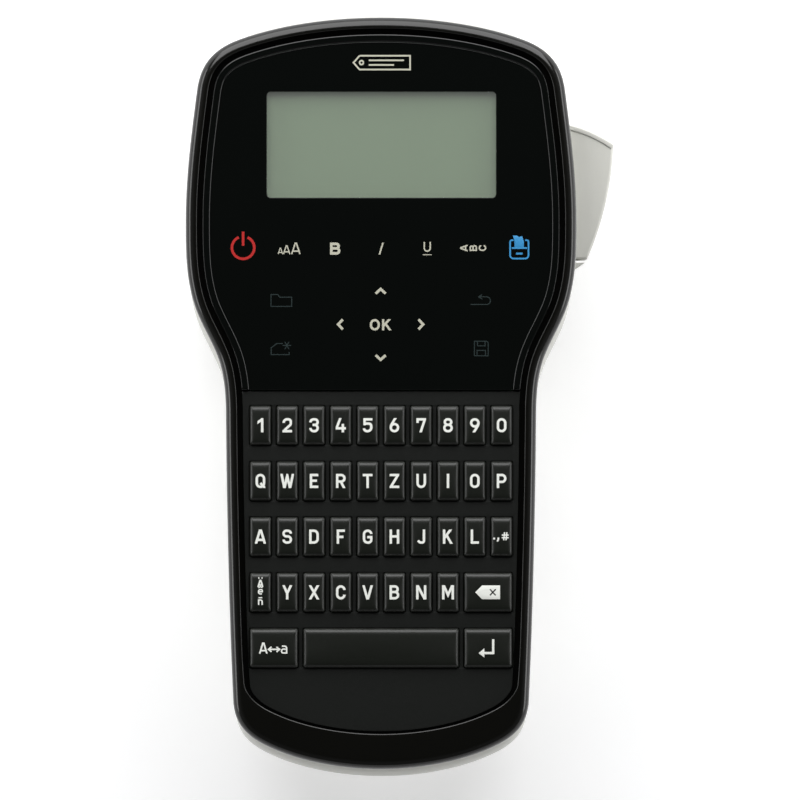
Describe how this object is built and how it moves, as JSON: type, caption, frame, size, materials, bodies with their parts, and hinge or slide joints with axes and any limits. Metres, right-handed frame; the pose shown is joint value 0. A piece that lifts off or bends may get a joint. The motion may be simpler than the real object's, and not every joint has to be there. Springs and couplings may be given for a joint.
{
  "type": "handheld label maker",
  "caption": "Hand-held label maker with a wide display head, a keyboard on the grip, a side cutter lever, and tape and battery bays behind covers at the back.",
  "frame": {"origin": "on the back face that the part rests on, on the centre plane and midway along the body", "axes": "+Z out of the keyboard and display, +Y from the grip towards the tape exit, +X towards the cutter lever"},
  "size_m": [0.1121, 0.2016, 0.061],
  "materials": {
    "gloss_black": "gloss moulded ABS",
    "panel_black": "high gloss acrylic, printed on the back, clear over the display",
    "display": "grey-green LCD behind clear lens",
    "satin_black": "satin moulded plastic",
    "key_black": "satin key cap with white print",
    "silicone": "matte silicone sheet",
    "board": "green solder mask",
    "silver_shell": "silver-grey painted ABS",
    "silver_cover": "silver-grey painted ABS",
    "silver_lever": "silver-grey painted ABS, fine grain",
    "battery": "black shrink-wrapped pack",
    "blade_steel": "ground steel",
    "cassette_plastic": "black moulded cassette",
    "label_tape": "wound white label tape",
    "head_metal": "aluminium heat sink with ceramic head",
    "roller_rubber": "rubber roller",
    "gear_plastic": "natural acetal",
    "motor_steel": "plated steel can"
  },
  "bodies": {
    "housing": {"front_housing": "gloss_black", "front_panel": "panel_black", "display_module": "display", "key_deck": "satin_black", "key_mat": "silicone", "main_board": "board", "back_housing": "silver_shell", "battery_pack": "battery", "tape_cassette": "cassette_plastic", "print_head": "head_metal", "drive_motor": "motor_steel"},
    "cutter_lever": {"cutter_lever": "silver_lever"},
    "cutter_blade": {"cutter_blade": "blade_steel"},
    "cassette_door": {"cassette_door": "silver_cover"},
    "battery_cover": {"battery_cover": "silver_cover"},
    "platen_roller": {"platen_roller": "roller_rubber"},
    "drive_pinion": {"drive_pinion": "gear_plastic"},
    "tape_roll": {"tape_roll": "label_tape"},
    "key_1": {"key_1": "key_black"},
    "key_2": {"key_2": "key_black"},
    "key_3": {"key_3": "key_black"},
    "key_4": {"key_4": "key_black"},
    "key_5": {"key_5": "key_black"},
    "key_6": {"key_6": "key_black"},
    "key_7": {"key_7": "key_black"},
    "key_8": {"key_8": "key_black"},
    "key_9": {"key_9": "key_black"},
    "key_0": {"key_0": "key_black"},
    "key_Q": {"key_Q": "key_black"},
    "key_W": {"key_W": "key_black"},
    "key_E": {"key_E": "key_black"},
    "key_R": {"key_R": "key_black"},
    "key_T": {"key_T": "key_black"},
    "key_Z": {"key_Z": "key_black"},
    "key_U": {"key_U": "key_black"},
    "key_I": {"key_I": "key_black"},
    "key_O": {"key_O": "key_black"},
    "key_P": {"key_P": "key_black"},
    "key_A": {"key_A": "key_black"},
    "key_S": {"key_S": "key_black"},
    "key_D": {"key_D": "key_black"},
    "key_F": {"key_F": "key_black"},
    "key_G": {"key_G": "key_black"},
    "key_H": {"key_H": "key_black"},
    "key_J": {"key_J": "key_black"},
    "key_K": {"key_K": "key_black"},
    "key_L": {"key_L": "key_black"},
    "key_symbol": {"key_symbol": "key_black"},
    "key_accent": {"key_accent": "key_black"},
    "key_Y": {"key_Y": "key_black"},
    "key_X": {"key_X": "key_black"},
    "key_C": {"key_C": "key_black"},
    "key_V": {"key_V": "key_black"},
    "key_B": {"key_B": "key_black"},
    "key_N": {"key_N": "key_black"},
    "key_M": {"key_M": "key_black"},
    "key_backspace": {"key_backspace": "key_black"},
    "key_caps": {"key_caps": "key_black"},
    "key_space": {"key_space": "key_black"},
    "key_return": {"key_return": "key_black"}
  },
  "joints": [
    {"name": "cutter_lever_press", "type": "hinge", "parent": "housing", "child": "cutter_lever", "pos_m": [0.042, 0.038, 0.03], "axis": [0, 0, 1], "range_deg": [0, 13], "stiffness_Nm_per_rad": 0.6, "springref_deg": -5.73},
    {"name": "cutter_blade_slide", "type": "slide", "parent": "housing", "child": "cutter_blade", "axis": [-1, 0, 0], "range_m": [0, 0.0105]},
    {"name": "cassette_door_hinge", "type": "hinge", "parent": "housing", "child": "cassette_door", "pos_m": [-0.0408, 0.0495, 0.0012], "axis": [0, 1, 0], "range_deg": [0, 95]},
    {"name": "battery_cover_slide", "type": "slide", "parent": "housing", "child": "battery_cover", "axis": [0, -1, 0], "range_m": [0, 0.056]},
    {"name": "platen_spin", "type": "hinge", "parent": "housing", "child": "platen_roller", "pos_m": [0.0303, 0.06, 0.0135], "axis": [0, 0, 1], "continuous": true},
    {"name": "pinion_spin", "type": "hinge", "parent": "housing", "child": "drive_pinion", "pos_m": [0.01905, 0.06, 0.0306], "axis": [0, 0, 1], "continuous": true},
    {"name": "tape_roll_spin", "type": "hinge", "parent": "housing", "child": "tape_roll", "pos_m": [-0.018, 0.04, 0.0126], "axis": [0, 0, 1], "continuous": true},
    {"name": "key_1_press", "type": "slide", "parent": "housing", "child": "key_1", "axis": [0, 0, -1], "range_m": [0, 0.001], "stiffness_N_per_m": 400, "springref_m": -0.0004},
    {"name": "key_2_press", "type": "slide", "parent": "housing", "child": "key_2", "axis": [0, 0, -1], "range_m": [0, 0.001], "stiffness_N_per_m": 400, "springref_m": -0.0004},
    {"name": "key_3_press", "type": "slide", "parent": "housing", "child": "key_3", "axis": [0, 0, -1], "range_m": [0, 0.001], "stiffness_N_per_m": 400, "springref_m": -0.0004},
    {"name": "key_4_press", "type": "slide", "parent": "housing", "child": "key_4", "axis": [0, 0, -1], "range_m": [0, 0.001], "stiffness_N_per_m": 400, "springref_m": -0.0004},
    {"name": "key_5_press", "type": "slide", "parent": "housing", "child": "key_5", "axis": [0, 0, -1], "range_m": [0, 0.001], "stiffness_N_per_m": 400, "springref_m": -0.0004},
    {"name": "key_6_press", "type": "slide", "parent": "housing", "child": "key_6", "axis": [0, 0, -1], "range_m": [0, 0.001], "stiffness_N_per_m": 400, "springref_m": -0.0004},
    {"name": "key_7_press", "type": "slide", "parent": "housing", "child": "key_7", "axis": [0, 0, -1], "range_m": [0, 0.001], "stiffness_N_per_m": 400, "springref_m": -0.0004},
    {"name": "key_8_press", "type": "slide", "parent": "housing", "child": "key_8", "axis": [0, 0, -1], "range_m": [0, 0.001], "stiffness_N_per_m": 400, "springref_m": -0.0004},
    {"name": "key_9_press", "type": "slide", "parent": "housing", "child": "key_9", "axis": [0, 0, -1], "range_m": [0, 0.001], "stiffness_N_per_m": 400, "springref_m": -0.0004},
    {"name": "key_0_press", "type": "slide", "parent": "housing", "child": "key_0", "axis": [0, 0, -1], "range_m": [0, 0.001], "stiffness_N_per_m": 400, "springref_m": -0.0004},
    {"name": "key_Q_press", "type": "slide", "parent": "housing", "child": "key_Q", "axis": [0, 0, -1], "range_m": [0, 0.001], "stiffness_N_per_m": 400, "springref_m": -0.0004},
    {"name": "key_W_press", "type": "slide", "parent": "housing", "child": "key_W", "axis": [0, 0, -1], "range_m": [0, 0.001], "stiffness_N_per_m": 400, "springref_m": -0.0004},
    {"name": "key_E_press", "type": "slide", "parent": "housing", "child": "key_E", "axis": [0, 0, -1], "range_m": [0, 0.001], "stiffness_N_per_m": 400, "springref_m": -0.0004},
    {"name": "key_R_press", "type": "slide", "parent": "housing", "child": "key_R", "axis": [0, 0, -1], "range_m": [0, 0.001], "stiffness_N_per_m": 400, "springref_m": -0.0004},
    {"name": "key_T_press", "type": "slide", "parent": "housing", "child": "key_T", "axis": [0, 0, -1], "range_m": [0, 0.001], "stiffness_N_per_m": 400, "springref_m": -0.0004},
    {"name": "key_Z_press", "type": "slide", "parent": "housing", "child": "key_Z", "axis": [0, 0, -1], "range_m": [0, 0.001], "stiffness_N_per_m": 400, "springref_m": -0.0004},
    {"name": "key_U_press", "type": "slide", "parent": "housing", "child": "key_U", "axis": [0, 0, -1], "range_m": [0, 0.001], "stiffness_N_per_m": 400, "springref_m": -0.0004},
    {"name": "key_I_press", "type": "slide", "parent": "housing", "child": "key_I", "axis": [0, 0, -1], "range_m": [0, 0.001], "stiffness_N_per_m": 400, "springref_m": -0.0004},
    {"name": "key_O_press", "type": "slide", "parent": "housing", "child": "key_O", "axis": [0, 0, -1], "range_m": [0, 0.001], "stiffness_N_per_m": 400, "springref_m": -0.0004},
    {"name": "key_P_press", "type": "slide", "parent": "housing", "child": "key_P", "axis": [0, 0, -1], "range_m": [0, 0.001], "stiffness_N_per_m": 400, "springref_m": -0.0004},
    {"name": "key_A_press", "type": "slide", "parent": "housing", "child": "key_A", "axis": [0, 0, -1], "range_m": [0, 0.001], "stiffness_N_per_m": 400, "springref_m": -0.0004},
    {"name": "key_S_press", "type": "slide", "parent": "housing", "child": "key_S", "axis": [0, 0, -1], "range_m": [0, 0.001], "stiffness_N_per_m": 400, "springref_m": -0.0004},
    {"name": "key_D_press", "type": "slide", "parent": "housing", "child": "key_D", "axis": [0, 0, -1], "range_m": [0, 0.001], "stiffness_N_per_m": 400, "springref_m": -0.0004},
    {"name": "key_F_press", "type": "slide", "parent": "housing", "child": "key_F", "axis": [0, 0, -1], "range_m": [0, 0.001], "stiffness_N_per_m": 400, "springref_m": -0.0004},
    {"name": "key_G_press", "type": "slide", "parent": "housing", "child": "key_G", "axis": [0, 0, -1], "range_m": [0, 0.001], "stiffness_N_per_m": 400, "springref_m": -0.0004},
    {"name": "key_H_press", "type": "slide", "parent": "housing", "child": "key_H", "axis": [0, 0, -1], "range_m": [0, 0.001], "stiffness_N_per_m": 400, "springref_m": -0.0004},
    {"name": "key_J_press", "type": "slide", "parent": "housing", "child": "key_J", "axis": [0, 0, -1], "range_m": [0, 0.001], "stiffness_N_per_m": 400, "springref_m": -0.0004},
    {"name": "key_K_press", "type": "slide", "parent": "housing", "child": "key_K", "axis": [0, 0, -1], "range_m": [0, 0.001], "stiffness_N_per_m": 400, "springref_m": -0.0004},
    {"name": "key_L_press", "type": "slide", "parent": "housing", "child": "key_L", "axis": [0, 0, -1], "range_m": [0, 0.001], "stiffness_N_per_m": 400, "springref_m": -0.0004},
    {"name": "key_symbol_press", "type": "slide", "parent": "housing", "child": "key_symbol", "axis": [0, 0, -1], "range_m": [0, 0.001], "stiffness_N_per_m": 400, "springref_m": -0.0004},
    {"name": "key_accent_press", "type": "slide", "parent": "housing", "child": "key_accent", "axis": [0, 0, -1], "range_m": [0, 0.001], "stiffness_N_per_m": 400, "springref_m": -0.0004},
    {"name": "key_Y_press", "type": "slide", "parent": "housing", "child": "key_Y", "axis": [0, 0, -1], "range_m": [0, 0.001], "stiffness_N_per_m": 400, "springref_m": -0.0004},
    {"name": "key_X_press", "type": "slide", "parent": "housing", "child": "key_X", "axis": [0, 0, -1], "range_m": [0, 0.001], "stiffness_N_per_m": 400, "springref_m": -0.0004},
    {"name": "key_C_press", "type": "slide", "parent": "housing", "child": "key_C", "axis": [0, 0, -1], "range_m": [0, 0.001], "stiffness_N_per_m": 400, "springref_m": -0.0004},
    {"name": "key_V_press", "type": "slide", "parent": "housing", "child": "key_V", "axis": [0, 0, -1], "range_m": [0, 0.001], "stiffness_N_per_m": 400, "springref_m": -0.0004},
    {"name": "key_B_press", "type": "slide", "parent": "housing", "child": "key_B", "axis": [0, 0, -1], "range_m": [0, 0.001], "stiffness_N_per_m": 400, "springref_m": -0.0004},
    {"name": "key_N_press", "type": "slide", "parent": "housing", "child": "key_N", "axis": [0, 0, -1], "range_m": [0, 0.001], "stiffness_N_per_m": 400, "springref_m": -0.0004},
    {"name": "key_M_press", "type": "slide", "parent": "housing", "child": "key_M", "axis": [0, 0, -1], "range_m": [0, 0.001], "stiffness_N_per_m": 400, "springref_m": -0.0004},
    {"name": "key_backspace_press", "type": "slide", "parent": "housing", "child": "key_backspace", "axis": [0, 0, -1], "range_m": [0, 0.001], "stiffness_N_per_m": 400, "springref_m": -0.0004},
    {"name": "key_caps_press", "type": "slide", "parent": "housing", "child": "key_caps", "axis": [0, 0, -1], "range_m": [0, 0.001], "stiffness_N_per_m": 400, "springref_m": -0.0004},
    {"name": "key_space_press", "type": "slide", "parent": "housing", "child": "key_space", "axis": [0, 0, -1], "range_m": [0, 0.001], "stiffness_N_per_m": 400, "springref_m": -0.0004},
    {"name": "key_return_press", "type": "slide", "parent": "housing", "child": "key_return", "axis": [0, 0, -1], "range_m": [0, 0.001], "stiffness_N_per_m": 400, "springref_m": -0.0004}
  ],
  "couplings": [
    {"joint": "cutter_blade_slide", "follows": "cutter_lever_press", "m_per_rad": 0.0445},
    {"joint": "pinion_spin", "follows": "platen_spin", "ratio": -1.5},
    {"joint": "tape_roll_spin", "follows": "platen_spin", "ratio": -0.204}
  ]
}
